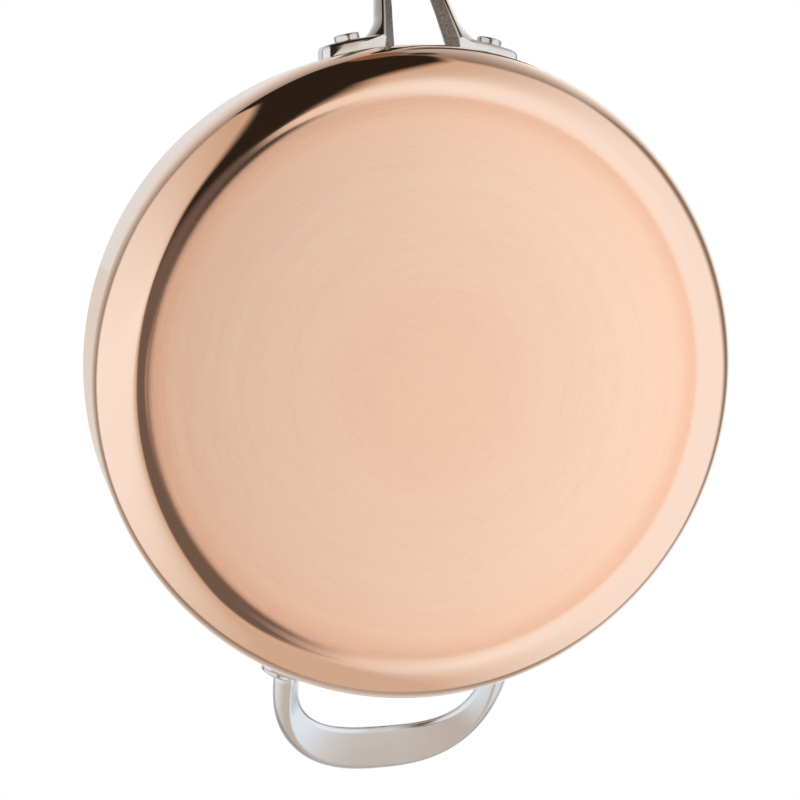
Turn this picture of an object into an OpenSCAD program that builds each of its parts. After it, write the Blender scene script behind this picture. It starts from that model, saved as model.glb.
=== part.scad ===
// Saute pan: a straight-walled body of three bonded plies, a forked long handle,
// a loop handle opposite to it, and the four rivets that hold the handles.
// +X runs along the long handle, +Z is up, and the origin is the centre of the base's underside.

/* [Pan body] */
// Outside diameter of the straight wall
pan_d = 280; // [240:1:340]
// Height of the rim above the surface that the pan stands on
pan_h = 70; // [64:1:120]
// Outside radius of the bend between base and wall
bend_r = 17; // [8:0.5:24]
// Diameter of the brushed disc on the base
disc_d = 239.6; // [180:0.2:244]
// How far the brushed disc stands below the polished border round it
disc_step = 0.2; // [0.1:0.05:0.5]
// Size of the rounded corners along the rim
rim_round = 0.2; // [0.1:0.05:0.4]

/* [Plies] */
// Thickness of the copper outside
copper_t = 0.6; // [0.4:0.05:1.5]
// Thickness of the aluminium core
aluminium_t = 1.5; // [0.8:0.1:3]
// Thickness of the steel lining
steel_t = 0.5; // [0.3:0.05:1]

/* [Long handle] */
// How far the long handle reaches out from the wall
long_reach = 225; // [180:1:300]
// Depth of the rivets below the rim
long_drop = 37; // [33:0.5:40]
// Slope of the fork where it leaves the wall, in degrees
fork_slope = 41; // [35:1:50]
// Length of the straight, steep stretch of the fork
fork_run = 42; // [24:1:50]
// Radius of the bend from the fork to the stick
stick_bend_r = 60; // [45:1:90]
// Slope of the stick just past the bend, in degrees
stick_slope = 20; // [14:0.5:26]
// Slope of the stick at its far end, in degrees
end_slope = 9; // [3:0.5:12]
// Half the gap of the fork at the wall
gap_root = 11.4; // [9:0.1:13]
// Half the gap of the fork where its round end starts
gap_tip = 5.2; // [4:0.1:7]
// Length of the gap seen from above, from the wall to the middle of its round end
gap_run = 48; // [40:1:56]
// Half the width over both legs at the wall
fork_root = 21.1; // [20:0.1:23.5]
// Half the width of the stick at its neck
neck_half = 9.6; // [8:0.1:12]
// Half the width of the stick where the palm lies
palm_half = 12.6; // [10:0.1:15]
// Thickness of the legs and of the neck
leg_t = 8.6; // [7:0.1:11]
// Thickness of the stick at the palm
palm_t = 9.6; // [8:0.1:13]
// Thickness of the stick at its far end
tip_t = 6.4; // [5:0.1:8]

/* [Long handle feet] */
// Distance of each foot's outer end from the middle
foot_reach = 42.8; // [41:0.1:48]
// Height of each foot
foot_h = 14.4; // [13:0.1:18]
// Thickness of each foot
foot_t = 5.1; // [3.5:0.1:7]
// Rounding of the feet's corners
foot_r = 2.2; // [1:0.1:4]
// Distance of each rivet from the middle
foot_rivet_y = 31; // [29:0.1:34]

/* [Hanging hole] */
// Diameter of the hole
hang_d = 10; // [6:0.5:12]
// Distance of the hole's centre from the tip
hang_in = 14.5; // [12:0.5:20]
// Diameter of the flat land round the hole
hang_land_d = 16; // [14:0.5:18]
// Thickness over both lands
hang_land_t = 7; // [6.8:0.1:9]

/* [Loop handle] */
// Height of the loop's legs below the rim, at the wall
loop_drop = 7; // [6:0.5:12]
// Slope of the loop, in degrees
loop_slope = 28; // [15:0.5:32]
// How far the grip's outer edge reaches from the wall, along the slope
loop_reach = 68.4; // [60:0.1:78]
// How far the grip's inner edge stays from the wall, along the slope
loop_gap = 41.2; // [34:0.1:48]
// Half the width over the loop's legs
loop_half = 57; // [54:0.1:60]
// Width of each leg
loop_leg_w = 12.5; // [10:0.1:15]
// Thickness of the legs
loop_leg_t = 9; // [7:0.1:11]
// Thickness of the grip
loop_grip_t = 8.4; // [7:0.1:11]

/* [Loop handle pads] */
// Width of each pad
pad_w = 16.6; // [15:0.1:18.4]
// Height of each pad
pad_h = 38; // [34:0.1:40]
// Thickness of each pad
pad_t = 4.2; // [3:0.1:6]
// Rounding of the pads' corners
pad_r = 4; // [2:0.1:6]
// How far each rivet lies outside the loop's legs
pad_out = 3; // [0:0.1:5]
// Depth of the rivets below the rim
pad_drop = 32.5; // [30:0.5:36]

/* [Rivets] */
// Diameter of the outer heads on the feet
foot_head_d = 11; // [9:0.1:12.5]
// Diameter of the outer heads on the pads
pad_head_d = 14.2; // [11:0.1:14.6]
// Height of the outer heads
head_t = 2.9; // [2:0.1:4]
// Rounding of the outer heads' edges
head_round = 0.9; // [0.3:0.1:1.5]
// Diameter of the shanks
shank_d = 6; // [4:0.1:7]
// Diameter of the heads inside the pan
inner_head_d = 12; // [10:0.1:14]
// Height of the heads inside the pan
inner_head_t = 2; // [1.2:0.1:3]

/* [Hidden] */

// Clearance of the shanks in their holes, and of the cast feet and the heads on what they clamp
shank_gap = 0.05;
seat_gap = 0.04;
// How far a cut runs past the face that it leaves
over = 1;

pan_r = pan_d / 2;
disc_r = disc_d / 2;
wall_t = copper_t + aluminium_t + steel_t;
lining_r = pan_r - wall_t;
seat_r = pan_r + seat_gap;

copper = "#e0a07a";
aluminium = "#b9bcc0";
lining_steel = "#cfd1d2";
cast_steel = "#c4c5c4";
rivet_steel = "#b6b8b9";

// A half profile of the pan's bowl, filled, drawn in by a depth of ply.
// Each ply is the difference of two of these, so neighbours share one surface.
module bowl_profile(inset, top) {
    bend = bend_r - inset;
    wall_x = pan_r - inset;
    floor_z = disc_step + inset;
    translate([0, floor_z]) square([wall_x - bend, top - floor_z]);
    translate([0, floor_z + bend]) square([wall_x, top - floor_z - bend]);
    translate([wall_x - bend, floor_z + bend]) circle(r = bend, $fn = 96);
}

// One ply, from one depth to another, open at the rim.
module ply(from_inset, to_inset) {
    difference() {
        bowl_profile(from_inset, pan_h);
        bowl_profile(to_inset, pan_h + over);
        // The circle of the bowl's bend has no part left of the axis.
        translate([-pan_r, -over]) square([pan_r, pan_h + 2 * over]);
    }
}

// Puts a child, drawn along +X at the origin, on a radial line of the wall.
module on_radius(angle, z) {
    translate([0, 0, z]) rotate([0, 0, angle]) children();
}

// The bearing and height of each rivet. The loop's bearings are counted from -X.
function bearing(y, r) = asin(y / r);
foot_bearing = bearing(foot_rivet_y, pan_r + foot_t);
pad_rivet_y = loop_half + pad_out;
pad_bearing = bearing(pad_rivet_y, pan_r + pad_t);
foot_rivet_z = pan_h - long_drop;
pad_rivet_z = pan_h - pad_drop;
rivets = [[-foot_bearing, foot_rivet_z], [foot_bearing, foot_rivet_z],
          [180 + pad_bearing, pad_rivet_z], [180 - pad_bearing, pad_rivet_z]];

module rivet_hole(place, reach) {
    on_radius(place[0], place[1])
        translate([lining_r - bend_r, 0, 0])
            rotate([0, 90, 0]) cylinder(d = shank_d + 2 * shank_gap, h = bend_r + reach, $fn = 48);
}

module wall_holes() {
    for (place = rivets) rivet_hole(place, wall_t + over);
}

module copper_shell() {
    color(copper) difference() {
        rotate_extrude($fn = 180) {
            difference() {
                union() {
                    ply(0, copper_t);
                    square([disc_r, disc_step + copper_t]);
                }
                // A small chamfer breaks the rim's outer corner.
                translate([pan_r, pan_h]) rotate(45)
                    square(rim_round * sqrt(2), center = true);
            }
        }
        wall_holes();
    }
}

module aluminium_core() {
    color(aluminium) difference() {
        rotate_extrude($fn = 180) ply(copper_t, copper_t + aluminium_t);
        wall_holes();
    }
}

module steel_lining() {
    color(lining_steel) difference() {
        rotate_extrude($fn = 180) difference() {
            ply(copper_t + aluminium_t, wall_t);
            translate([lining_r, pan_h]) rotate(45)
                square(rim_round * sqrt(2), center = true);
        }
        wall_holes();
    }
}

// A tab that follows the wall: a band of the given thickness round the pan, cut to a rounded
// outline that is drawn in [y, z] and pushed out along +X.
module wall_tab(thickness, y0, y1, z0, z1, corner) {
    intersection() {
        translate([0, 0, z0 - over]) cylinder(r = pan_r + thickness, h = z1 - z0 + 2 * over, $fn = 180);
        rotate([90, 0, 90]) linear_extrude(pan_r + 2 * thickness)
            rounded_box(y0, y1, z0, z1, corner);
    }
}

module rounded_box(y0, y1, z0, z1, corner) {
    translate([y0 + corner, z0]) square([y1 - y0 - 2 * corner, z1 - z0]);
    translate([y0, z0 + corner]) square([y1 - y0, z1 - z0 - 2 * corner]);
    for (y = [y0 + corner, y1 - corner], z = [z0 + corner, z1 - corner])
        translate([y, z]) circle(r = corner, $fn = 32);
}

// Removes what would stand inside the wall.
module wall_cut() {
    translate([0, 0, -over]) cylinder(r = seat_r, h = pan_h + 2 * over, $fn = 180);
}

// Skins rings of equally many points into one closed solid.
module skin(rings) {
    count = len(rings[0]);
    last = len(rings) - 1;
    points = [for (ring = rings) each ring];
    start_cap = [for (k = [0:count - 1]) k];
    end_cap = [for (k = [count - 1:-1:0]) last * count + k];
    sides = [for (i = [0:last - 1], k = [0:count - 1])
        let (a = i * count + k, b = i * count + (k + 1) % count)
            each [[a, a + count, b + count], [a, b + count, b]]];
    polyhedron(points, concat([start_cap, end_cap], sides), convexity = 6);
}

function mix(a, b, share) = a + (b - a) * share;
function clamp01(v) = min(1, max(0, v));
function ease(v) = let (c = clamp01(v)) c * c * (3 - 2 * c);

// The long handle's middle line, by the length s along it from the wall: a straight steep
// stretch, a bend, and a long arc that levels out to the tip. The ridges below the legs
// meet the feet's lower edges.
fork_x = pan_r;
foot_z0 = foot_rivet_z - foot_h / 2;
ridge_lift = 0.5;
fork_z = foot_z0 + ridge_lift + leg_t / (2 * cos(fork_slope)) - foot_t * tan(fork_slope);
bend_x = fork_x + fork_run * cos(fork_slope);
bend_z = fork_z + fork_run * sin(fork_slope);
bend_len = stick_bend_r * (fork_slope - stick_slope) * PI / 180;
stick_x = bend_x + stick_bend_r * (sin(fork_slope) - sin(stick_slope));
stick_z = bend_z + stick_bend_r * (cos(stick_slope) - cos(fork_slope));
stick_r = (pan_r + long_reach - stick_x) / (sin(stick_slope) - sin(end_slope));
stick_len = stick_r * (stick_slope - end_slope) * PI / 180;
stick_s = fork_run + bend_len;
long_len = stick_s + stick_len;

function line_angle(s) =
    s < fork_run ? fork_slope
    : s < stick_s ? fork_slope - (s - fork_run) / stick_bend_r * 180 / PI
    : stick_slope - (s - stick_s) / stick_r * 180 / PI;
function line_x(s) =
    s < fork_run ? fork_x + s * cos(fork_slope)
    : s < stick_s ? bend_x + stick_bend_r * (sin(fork_slope) - sin(line_angle(s)))
    : stick_x + stick_r * (sin(stick_slope) - sin(line_angle(s)));
function line_z(s) =
    s < fork_run ? fork_z + s * sin(fork_slope)
    : s < stick_s ? bend_z + stick_bend_r * (cos(line_angle(s)) - cos(fork_slope))
    : stick_z + stick_r * (cos(line_angle(s)) - cos(stick_slope));

// Where along the handle its form changes, as shares of its length
neck_share = 0.4;
palm_share = 0.72;
belly_share = 0.26;
belly_end_share = 0.52;
neck_s = neck_share * long_len;
palm_s = palm_share * long_len;
belly_s = belly_share * long_len;
belly_end_s = belly_end_share * long_len;
fork_power = 1.4;
gap_power = 1.6;
root_flare = 4.5;
root_flare_run = 17;
tip_r = palm_half;
tip_close_share = 0.02;

// Half the outer width of the fork and stick, rounded off at the tip.
function side_y(s) =
    let (plain = s < neck_s ? mix(fork_root, neck_half, 1 - pow(1 - clamp01(s / neck_s), fork_power))
                            : mix(neck_half, palm_half, ease((s - neck_s) / (palm_s - neck_s))),
         flare = root_flare * pow(clamp01(1 - s / root_flare_run), 2),
         into_tip = clamp01((s - long_len + tip_r) / tip_r))
    (plain + flare) * sqrt(max(1 - into_tip * into_tip, tip_close_share));

function body_t(s) =
    s < neck_s ? leg_t
    : s < palm_s ? mix(leg_t, palm_t, ease((s - neck_s) / (palm_s - neck_s)))
    : mix(palm_t, tip_t, ease((s - palm_s) / (long_len - tip_r - palm_s)));

// Half the section, from the middle below to the middle above: across in shares of the half
// width, up in shares of the thickness. Each leg has a ridge below, and the valley between
// the ridges fills up into the stick's round belly.
function leg_shares(gap_share) =
    [[0, -0.08], [gap_share, -0.09], [0.84, -0.5], [0.968, -0.2], [1, -0.08],
     [1, 0.14], [0.95, 0.31], [0.82, 0.42], [gap_share, 0.24], [0, 0.22]];
stick_shares =
    [[0, -0.5], [0.25, -0.485], [0.56, -0.43], [0.84, -0.3], [0.97, -0.12],
     [1, 0.05], [0.95, 0.24], [0.84, 0.36], [0.45, 0.47], [0, 0.5]];

function gap_half(x) = mix(gap_root, gap_tip, pow(clamp01((x - fork_x) / gap_run), gap_power));
function belly(s) = ease((s - belly_s) / (belly_end_s - belly_s));

// The whole section at s, as [y, h] from the middle line, anticlockwise from the bottom.
function section(s) =
    let (w = side_y(s), t = body_t(s), legs = leg_shares(gap_half(line_x(s)) / w),
         half = [for (k = [0:len(legs) - 1])
             [w * mix(legs[k][0], stick_shares[k][0], belly(s)),
              t * mix(legs[k][1], stick_shares[k][1], belly(s))]])
    concat(half, [for (k = [len(half) - 2:-1:1]) [-half[k][0], half[k][1]]]);

function long_ring(s) =
    let (a = line_angle(s), x = line_x(s), z = line_z(s))
    [for (p = section(s)) [x - p[1] * sin(a), p[0], z + p[1] * cos(a)]];

// Stations are close together at the wall, where the legs flare, and at the round tip.
root_in = 8;
long_stations = concat(
    [-root_in, -root_in / 2, 0, root_flare_run / 3, root_flare_run * 2 / 3, root_flare_run],
    [for (k = [1:10]) mix(root_flare_run, stick_s, k / 10)],
    [for (k = [1:24]) mix(stick_s, long_len - tip_r, k / 24)],
    [for (k = [1:8]) long_len - tip_r + tip_r * sin(90 * k / 8)]);

// The gap between the legs: a slot with a round end, seen from above, which narrows slowly at
// the wall and faster towards its end.
gap_side = concat([[fork_x - root_in, gap_root]],
                  [for (k = [0:12]) let (x = fork_x + gap_run * k / 12) [x, gap_half(x)]]);
module fork_gap() {
    low_z = foot_rivet_z - foot_h;
    high_z = line_z(stick_s) + 2 * leg_t;
    translate([0, 0, low_z]) linear_extrude(high_z - low_z) {
        polygon(concat([for (p = gap_side) [p[0], -p[1]]],
                       [for (k = [len(gap_side) - 1:-1:0]) gap_side[k]]));
        translate([fork_x + gap_run, 0]) circle(r = gap_tip, $fn = 48);
    }
}

// Places children at the hanging hole, square to the stick.
module at_hang() {
    s = long_len - hang_in;
    translate([line_x(s), 0, line_z(s)]) rotate([0, -line_angle(s), 0]) children();
}

module main_handle() {
    color(cast_steel) difference() {
        union() {
            difference() {
                skin([for (s = long_stations) long_ring(s)]);
                // Nothing of the legs hangs below the feet.
                translate([0, -foot_reach, foot_z0 - foot_h])
                    cube([pan_r + foot_t, 2 * foot_reach, foot_h]);
            }
            for (side = [-1, 1])
                wall_tab(foot_t, side < 0 ? -foot_reach : gap_root, side < 0 ? -gap_root : foot_reach,
                         foot_z0, foot_z0 + foot_h, foot_r);
            at_hang() cylinder(d = hang_land_d, h = hang_land_t, center = true, $fn = 64);
        }
        wall_cut();
        fork_gap();
        at_hang() cylinder(d = hang_d, h = hang_land_t + 2 * over, center = true, $fn = 64);
        rivet_hole(rivets[0], bend_r);
        rivet_hole(rivets[1], bend_r);
    }
}

// The loop lies between two rounded outlines in a plane that rises from the wall.
// Its legs leave the wall level and turn up into that plane.
outer_power = 2.4;
inner_power = 3;
leg_level_run = 3;
loop_z = pan_h - loop_drop;
loop_gap_half = loop_half - loop_leg_w;
leg_in = 14;

function superellipse(reach, half, power, a) =
    [reach * pow(max(sin(a), 0), 2 / power), half * sign(cos(a)) * pow(abs(cos(a)), 2 / power)];
function loop_rise(u) =
    u <= 0 ? 0 : tan(loop_slope) * (u < leg_level_run ? u * u / (2 * leg_level_run) : u - leg_level_run / 2);

// The loop's section, from the inner edge (0) to the outer edge (1), with its height in
// shares of the thickness. The ridge below wanders from the inner side to the outer side.
function loop_section_shares(ridge) =
    [[0, -0.05], [0.06, 0.22], [0.22, 0.4], [0.5, 0.5], [0.8, 0.38], [0.95, 0.22], [1, 0],
     [0.96, -0.22], [mix(ridge, 1, 0.6), -0.4], [ridge, -0.5], [0.07, -0.27]];
leg_ridge_share = 0.38;
grip_ridge_share = 0.8;

function loop_ring(a) =
    let (outer = superellipse(loop_reach, loop_half, outer_power, a),
         inner = superellipse(loop_gap, loop_gap_half, inner_power, a),
         to_grip = ease(sin(a)), t = mix(loop_leg_t, loop_grip_t, to_grip))
    [for (p = loop_section_shares(mix(leg_ridge_share, grip_ridge_share, to_grip)))
        let (u = mix(inner[0], outer[0], p[0]), v = mix(inner[1], outer[1], p[0]))
            loop_point(u, v, p[1] * t)];
function loop_point(u, v, h) =
    [-pan_r - u * cos(loop_slope) + h * sin(loop_slope) * clamp01(u / leg_level_run), v,
     loop_z + loop_rise(u * cos(loop_slope)) + h];

// The legs run on into the wall, where they are cut off.
function leg_ring(side, run) =
    [for (p = loop_section_shares(leg_ridge_share))
        [-pan_r + run, side * mix(loop_gap_half, loop_half, p[0]), loop_z + p[1] * loop_leg_t]];

loop_steps = 44;
module helper_handle() {
    pad_z0 = pad_rivet_z - pad_w / 2;
    color(cast_steel) difference() {
        union() {
            skin(concat([leg_ring(1, leg_in), leg_ring(1, leg_in / 2)],
                        [for (k = [0:loop_steps]) loop_ring(180 * k / loop_steps)],
                        [leg_ring(-1, leg_in / 2), leg_ring(-1, leg_in)]));
            for (side = [-1, 1])
                rotate([0, 0, 180 + side * pad_bearing])
                    wall_tab(pad_t, -pad_w / 2, pad_w / 2, pad_z0, pad_z0 + pad_h, pad_r);
        }
        wall_cut();
        rivet_hole(rivets[2], bend_r);
        rivet_hole(rivets[3], bend_r);
    }
}

// A rivet: a flat outer head with a rounded edge, the shank, and a low domed head inside.
// It is turned about +X, the way out of the pan.
module rivet(place, head_d, clamped_t) {
    inner_x = sqrt(pow(lining_r, 2) - pow(inner_head_d / 2, 2)) - seat_gap;
    outer_x = pan_r + clamped_t + seat_gap;
    head_r = head_d / 2;
    color(rivet_steel) on_radius(place[0], place[1]) rotate([0, 90, 0])
        rotate_extrude($fn = 72) {
            translate([0, inner_x - over / 2]) square([shank_d / 2, outer_x - inner_x + over]);
            translate([0, outer_x]) {
                square([head_r, head_t - head_round]);
                square([head_r - head_round, head_t]);
                translate([head_r - head_round, head_t - head_round]) intersection() {
                    circle(r = head_round, $fn = 32);
                    square(head_round);
                }
            }
            translate([0, inner_x]) inner_head();
        }
}

// Half the outline of the domed head, which hangs below its seat.
dome_rim_share = 0.35;
module inner_head() {
    rim_t = inner_head_t * dome_rim_share;
    rise = inner_head_t - rim_t;
    half = inner_head_d / 2;
    dome_r = (half * half + rise * rise) / (2 * rise);
    translate([0, -rim_t]) square([half, rim_t]);
    intersection() {
        translate([0, dome_r - inner_head_t]) circle(r = dome_r, $fn = 96);
        translate([0, -inner_head_t]) square([half, rise]);
    }
}

module main_rivet_left() { rivet(rivets[0], foot_head_d, foot_t); }
module main_rivet_right() { rivet(rivets[1], foot_head_d, foot_t); }
module helper_rivet_left() { rivet(rivets[2], pad_head_d, pad_t); }
module helper_rivet_right() { rivet(rivets[3], pad_head_d, pad_t); }

copper_shell();
aluminium_core();
steel_lining();
main_handle();
helper_handle();
main_rivet_left();
main_rivet_right();
helper_rivet_left();
helper_rivet_right();
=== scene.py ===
import bmesh
import bpy
import numpy as np
from mathutils import Matrix, Vector


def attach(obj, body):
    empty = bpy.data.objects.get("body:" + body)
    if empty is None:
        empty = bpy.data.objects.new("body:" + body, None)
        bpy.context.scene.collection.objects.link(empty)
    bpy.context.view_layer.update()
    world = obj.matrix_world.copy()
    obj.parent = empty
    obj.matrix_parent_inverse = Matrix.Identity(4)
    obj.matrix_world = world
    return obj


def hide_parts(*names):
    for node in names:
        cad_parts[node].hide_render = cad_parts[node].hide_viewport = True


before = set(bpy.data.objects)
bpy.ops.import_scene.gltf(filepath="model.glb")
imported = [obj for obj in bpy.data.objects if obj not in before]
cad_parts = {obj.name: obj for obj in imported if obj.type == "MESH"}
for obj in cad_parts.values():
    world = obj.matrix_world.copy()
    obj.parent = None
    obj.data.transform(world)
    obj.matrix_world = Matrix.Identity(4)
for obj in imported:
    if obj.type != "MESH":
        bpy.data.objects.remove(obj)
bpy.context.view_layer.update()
millimetre = 0.001
tiny = 1e-6  # lengths closer than this count as equal
print("frame loaded with", len(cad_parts), "parts")


def paint(red, green, blue):  # screen values 0 to 255 to the linear colour that a shader wants
    share = np.array([red, green, blue]) / 255
    linear = np.where(share <= 0.04045, share / 12.92, ((share + 0.055) / 1.055) ** 2.4)
    return tuple(float(value) for value in linear) + (1.0,)


def mix(start, end, share):
    return start + (end - start) * share


def clampShare(value):
    return np.clip(value, 0.0, 1.0)


def ease(value):  # 3v^2 - 2v^3 between 0 and 1
    value = clampShare(value)
    return value * value * (3 - 2 * value)


class Wire:  # an output socket that can be calculated with
    def __init__(self, tree, socket):
        self.tree = tree
        self.socket = socket

    def __add__(self, other):
        return self.tree.maths("ADD", self, other)

    def __sub__(self, other):
        return self.tree.maths("SUBTRACT", self, other)

    def __mul__(self, other):
        return self.tree.maths("MULTIPLY", self, other)

    def __truediv__(self, other):
        return self.tree.maths("DIVIDE", self, other)

    def __rsub__(self, other):
        return self.tree.maths("SUBTRACT", other, self)

    def __rtruediv__(self, other):
        return self.tree.maths("DIVIDE", other, self)

    __radd__ = __add__
    __rmul__ = __mul__

    def power(self, exponent):
        return self.tree.maths("POWER", self, exponent)

    def absolute(self):
        return self.tree.maths("ABSOLUTE", self)

    def atLeast(self, least):
        return self.tree.maths("MAXIMUM", self, least)

    def smooth(self, low, high, kind="SMOOTHSTEP"):  # 0 below low, 1 above high, eased between
        values = {"Value": self, "From Min": low, "From Max": high, "To Min": 0.0, "To Max": 1.0}
        return self.tree.add("ShaderNodeMapRange", {"interpolation_type": kind}, values)

    def curve(self, places):  # straight lines through (place, value) pairs, level beyond them
        low, high = places[0][0], places[-1][0]
        least = min(value for _, value in places)
        most = max(value for _, value in places)
        stops = [((place - low) / (high - low), (value - least) / (most - least)) for place, value in places]
        stops = [(place, (value, value, value, 1.0)) for place, value in stops]
        share = (self - low) / (high - low)
        return self.tree.add("ShaderNodeValToRGB", {"stops": stops}, {0: share}) * (most - least) + least


class Shader:  # a node tree that is filled through one method
    def __init__(self, owner):
        owner.use_nodes = True
        self.nodes = owner.node_tree.nodes
        self.links = owner.node_tree.links
        self.nodes.clear()

    def node(self, kind, settings=None, values=None):
        made = self.nodes.new(kind)
        for name, value in (settings or {}).items():
            if name == "stops":
                self.fillRamp(made.color_ramp.elements, value)
            else:
                setattr(made, name, value)
        for name, value in (values or {}).items():
            if isinstance(value, Wire):
                self.links.new(value.socket, made.inputs[name])
            else:
                made.inputs[name].default_value = value
        return made

    def fillRamp(self, elements, stops):
        elements.remove(elements[-1])
        elements[0].position, elements[0].color = stops[0]
        for place, colour in stops[1:]:
            elements.new(place).color = colour

    def add(self, kind, settings=None, values=None, output=0):
        return Wire(self, self.node(kind, settings, values).outputs[output])

    def maths(self, operation, *values):
        return self.add("ShaderNodeMath", {"operation": operation}, dict(enumerate(values)))

    def mixColour(self, share, first, second, blend="MIX"):
        values = {0: share, 6: first, 7: second}
        return self.add("ShaderNodeMix", {"data_type": "RGBA", "blend_type": blend}, values, 2)

    def split(self, vector):
        parts = self.node("ShaderNodeSeparateXYZ", values={0: vector})
        return [Wire(self, parts.outputs[axis]) for axis in range(3)]

    def join(self, x, y, z):
        return self.add("ShaderNodeCombineXYZ", values={0: x, 1: y, 2: z})

    def place(self):  # the point on the piece in millimetres, as three wires
        metres = self.split(self.add("ShaderNodeTexCoord", output="Object"))
        return [part * (1 / millimetre) for part in metres]

    def radius(self, x, y):
        return (x * x + y * y).power(0.5)

    def noise(self, place, scale, detail=2.0, roughness=0.5):
        values = {"Vector": self.join(*place), "Scale": scale, "Detail": detail, "Roughness": roughness}
        return self.add("ShaderNodeTexNoise", {"noise_dimensions": "3D"}, values)

    def lines(self, along, scale, detail=2.0, roughness=0.6):  # varies along one number only
        values = {"W": along, "Scale": scale, "Detail": detail, "Roughness": roughness}
        return self.add("ShaderNodeTexNoise", {"noise_dimensions": "1D"}, values)

    def bump(self, height, strength, distance):  # the distance is in metres
        values = {"Height": height, "Strength": strength, "Distance": distance}
        return self.add("ShaderNodeBump", values=values)

    def metal(self, colour, roughness, normal=None):
        values = {"Base Color": colour, "Metallic": 1.0, "Roughness": roughness}
        if normal:
            values["Normal"] = normal
        surface = self.add("ShaderNodeBsdfPrincipled", values=values)
        self.node("ShaderNodeOutputMaterial", values={"Surface": surface})


def newMaterial(name):
    material = bpy.data.materials.new(name)
    return material, Shader(material)


# The camera stands below the pan, as in the photograph.
camera = {
    "place": (86.51, -182.85, -643.21),
    "forward": (-0.13835, 0.24993, 0.95833),
    "up": (0.99032, 0.0243, 0.13664),
    "lens": 72.768,
    "sensor": 36.0,
    "nearest": 10.0,
    "furthest": 50000.0,
}


def makeCamera():
    data = bpy.data.cameras.new("camera")
    data.lens = camera["lens"]
    data.sensor_width = camera["sensor"]
    data.clip_start = camera["nearest"] * millimetre
    data.clip_end = camera["furthest"] * millimetre
    eye = bpy.data.objects.new("camera", data)
    bpy.context.scene.collection.objects.link(eye)
    back = -Vector(camera["forward"]).normalized()
    right = Vector(camera["up"]).cross(back).normalized()
    up = back.cross(right)
    turn = Matrix((right, up, back)).transposed().to_4x4()
    eye.matrix_world = Matrix.Translation(Vector(camera["place"]) * millimetre) @ turn
    bpy.context.scene.camera = eye


makeCamera()
print("camera placed")


def newPiece(name, points, faces):
    mesh = bpy.data.meshes.new(name)
    mesh.from_pydata((np.asarray(points) * millimetre).tolist(), [], faces)
    piece = bpy.data.objects.new(name, mesh)
    bpy.context.scene.collection.objects.link(piece)
    tidyMesh(mesh)
    return piece


# Merges doubles, dissolves slivers and turns the faces outwards. Both distances are metres.
def tidyMesh(mesh, doubleDistance=2e-6, sliverLength=1e-6):
    shape = bmesh.new()
    shape.from_mesh(mesh)
    bmesh.ops.remove_doubles(shape, verts=shape.verts, dist=doubleDistance)
    bmesh.ops.dissolve_degenerate(shape, edges=shape.edges, dist=sliverLength)
    bmesh.ops.recalc_face_normals(shape, faces=shape.faces)
    shape.to_mesh(mesh)
    shape.free()
    mesh.validate()


def combine(piece, operation, *tools):  # adds or cuts away the tools, which then go
    for tool in tools:
        step = piece.modifiers.new("combine", "BOOLEAN")
        step.operation = operation
        step.solver = "EXACT"
        step.object = tool
        bpy.context.view_layer.update()
        settled = piece.evaluated_get(bpy.context.evaluated_depsgraph_get())
        shaped = bpy.data.meshes.new_from_object(settled)
        piece.modifiers.clear()
        piece.data = shaped
        bpy.data.objects.remove(tool)
    tidyMesh(piece.data)


def finishPiece(piece, material, node, sharpAngle=35):
    mesh = piece.data
    mesh.materials.clear()
    mesh.materials.append(material)
    mesh.polygons.foreach_set("material_index", np.zeros(len(mesh.polygons), int))
    mesh.polygons.foreach_set("use_smooth", np.ones(len(mesh.polygons), bool))
    mesh.set_sharp_from_angle(angle=np.radians(sharpAngle))
    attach(piece, "root")
    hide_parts(node)


# Quads between rows of columns of points. Each row is closed, and closed rows also join the last
# row to the first.
def gridFaces(rows, columns, closedRows=False):
    row, column = np.meshgrid(np.arange(rows if closedRows else rows - 1), np.arange(columns), indexing="ij")
    nextRow, nextColumn = (row + 1) % rows, (column + 1) % columns
    corners = [row * columns + column, nextRow * columns + column,
               nextRow * columns + nextColumn, row * columns + nextColumn]
    return np.stack(corners, -1).reshape(-1, 4)


def endFaces(rows, columns):  # one face across the first row and one across the last
    return [list(range(columns))[::-1], [(rows - 1) * columns + k for k in range(columns)]]


# Points round a centre: centre + r (cos a, sin a), with a going evenly from start to end.
def arc(centre, r, start, end, steps):
    angle = np.radians(np.linspace(start, end, steps + 1))
    return np.stack([centre[0] + r * np.cos(angle), centre[1] + r * np.sin(angle)], 1)


# Lathe about the z axis: each profile point (r, z) becomes the ring (r cos a, r sin a, z).
# A profile whose two ends lie on the axis gets poles there, and any other is closed on itself.
def lathe(profile, around):
    profile = np.asarray(profile, float)
    onAxis = profile[0, 0] < tiny and profile[-1, 0] < tiny
    rings = profile[1:-1] if onAxis else profile
    angle = np.arange(around) * 2 * np.pi / around
    height = np.repeat(rings[:, 1:], around, 1)
    points = np.stack([rings[:, :1] * np.cos(angle), rings[:, :1] * np.sin(angle), height], -1).reshape(-1, 3)
    faces = gridFaces(len(rings), around, closedRows=not onAxis).tolist()
    if onAxis:
        step, last, pole = np.arange(around), (len(rings) - 1) * around, len(points)
        poles = [[0, 0, profile[0, 1]], [0, 0, profile[-1, 1]]]
        points = np.concatenate([points, poles])
        faces += np.stack([np.full(around, pole), step, (step + 1) % around], 1).tolist()
        faces += np.stack([np.full(around, pole + 1), last + (step + 1) % around, last + step], 1).tolist()
    return points, faces


# Puts a lathed piece on a radial line of the wall: its z runs outwards and its x runs up.
def onRadius(points, bearing, height):
    across, up, out = points[:, 1], points[:, 0], points[:, 2]
    turn = np.radians(bearing)
    return np.stack([out * np.cos(turn) - across * np.sin(turn),
                     out * np.sin(turn) + across * np.cos(turn), up + height], 1)


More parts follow.
